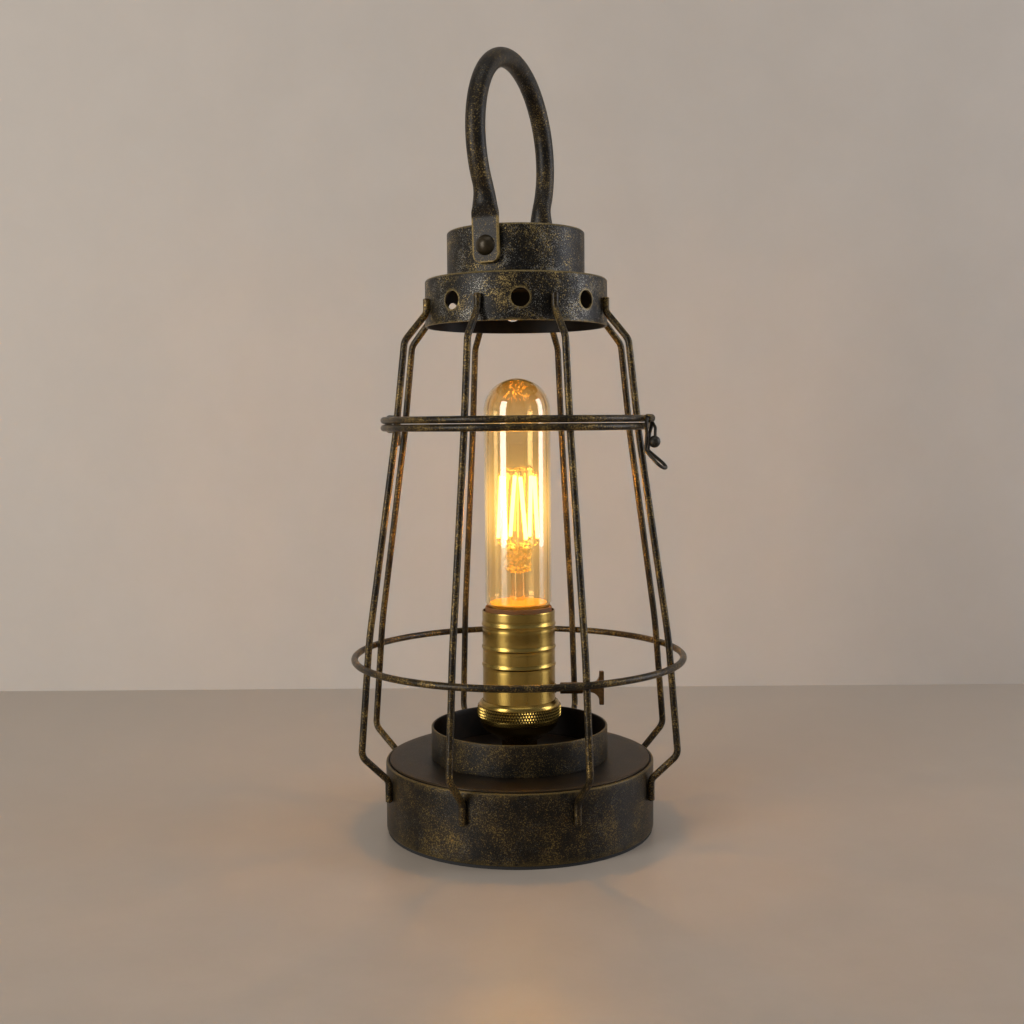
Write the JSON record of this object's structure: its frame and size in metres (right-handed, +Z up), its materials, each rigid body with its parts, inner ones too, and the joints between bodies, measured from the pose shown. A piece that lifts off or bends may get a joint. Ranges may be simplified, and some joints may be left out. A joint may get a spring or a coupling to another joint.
{
  "type": "lantern table lamp",
  "caption": "Lantern-shaped table lamp: drum base with open collar, hinged wire cage with vented cap and bail handle, brass lamp holder with side switch and bare tubular filament bulb.",
  "frame": {"origin": "middle of the lamp's underside, on the table", "axes": "+Z up the lamp's axis; -Y the side the picture was taken from; +X the side with the switch key"},
  "size_m": [0.1748, 0.1748, 0.4013],
  "materials": {
    "painted_steel": "dark bronze enamel, sponged with fine gold and grey speckle, satin",
    "dark_steel": "black satin",
    "zinc_steel": "zinc plated",
    "brass": "satin, warm",
    "nickel": "nickel plated",
    "switch_bronze": "oiled bronze",
    "liner": "varnished insulating board",
    "phenolic": "moulded",
    "rubber": "matte",
    "black_glass": "glossy",
    "amber_glass": "clear, faint amber",
    "clear_glass": "clear",
    "filament": "lit yellow sticks"
  },
  "bodies": {
    "base": {"base_drum": "painted_steel", "base_top_plate": "painted_steel", "base_collar": "painted_steel", "base_bottom_plate": "dark_steel", "bottom_screws": "zinc_steel", "foot_ring": "rubber", "cord_bushing": "rubber", "threaded_tube": "zinc_steel", "tube_nut": "zinc_steel", "seat_nut": "brass", "socket_cap": "brass", "knurled_ring": "brass", "socket_shell": "brass", "socket_liner": "liner", "socket_body": "phenolic", "screw_shell": "brass", "centre_contact": "brass", "terminal_screws": "brass", "switch_bushing": "switch_bronze", "lower_hoop": "painted_steel", "lower_rim_ring": "painted_steel", "hinge_strap": "dark_steel", "lower_rib_1": "painted_steel", "lower_rib_2": "painted_steel", "lower_rib_3": "painted_steel", "lower_rib_4": "painted_steel", "lower_rib_5": "painted_steel", "lower_rib_6": "painted_steel", "lower_rib_7": "painted_steel", "lower_rib_8": "painted_steel"},
    "lid": {"upper_rim_ring": "painted_steel", "vent_band": "painted_steel", "crown": "painted_steel", "handle_rivets": "painted_steel", "latch_barrel": "painted_steel", "upper_rib_1": "painted_steel", "upper_rib_2": "painted_steel", "upper_rib_3": "painted_steel", "upper_rib_4": "painted_steel", "upper_rib_5": "painted_steel", "upper_rib_6": "painted_steel", "upper_rib_7": "painted_steel", "upper_rib_8": "painted_steel"},
    "handle": {"bail_handle": "painted_steel"},
    "latch": {"latch_loop": "dark_steel", "latch_ball": "dark_steel"},
    "key": {"switch_stem": "switch_bronze", "switch_key": "switch_bronze"},
    "bulb_carriage": {"bulb_contact": "nickel"},
    "bulb": {"bulb_insulator": "black_glass", "bulb_screw_cap": "nickel", "bulb_glass": "amber_glass", "bulb_stem": "clear_glass", "filament_frame": "zinc_steel", "filaments": "filament"}
  },
  "joints": [
    {"name": "lid_hinge", "type": "hinge", "parent": "base", "child": "lid", "pos_m": [-0.06627, 0.01838, 0.2139], "axis": [-0.2672, -0.9636, 0], "range_deg": [0, 120]},
    {"name": "handle_swing", "type": "hinge", "parent": "lid", "child": "handle", "pos_m": [0, 0, 0.29855], "axis": [-0.3907, -0.9205, 0], "range_deg": [-107, 103]},
    {"name": "latch_swing", "type": "hinge", "parent": "lid", "child": "latch", "pos_m": [0.06531, -0.03186, 0.2139], "axis": [-0.4384, -0.8988, 0], "range_deg": [0, 100]},
    {"name": "switch_turn", "type": "hinge", "parent": "base", "child": "key", "pos_m": [0.03, 0, 0.0727], "axis": [1, 0, 0], "continuous": true},
    {"name": "bulb_lift", "type": "slide", "parent": "base", "child": "bulb_carriage", "axis": [0, 0, 1], "range_m": [0, 0.01452]},
    {"name": "bulb_turn", "type": "hinge", "parent": "bulb_carriage", "child": "bulb", "pos_m": [0, 0, 0.1], "axis": [0, 0, 1], "range_deg": [0, 1440]}
  ],
  "couplings": [
    {"joint": "bulb_lift", "follows": "bulb_turn", "m_per_rad": 0.0005775}
  ]
}
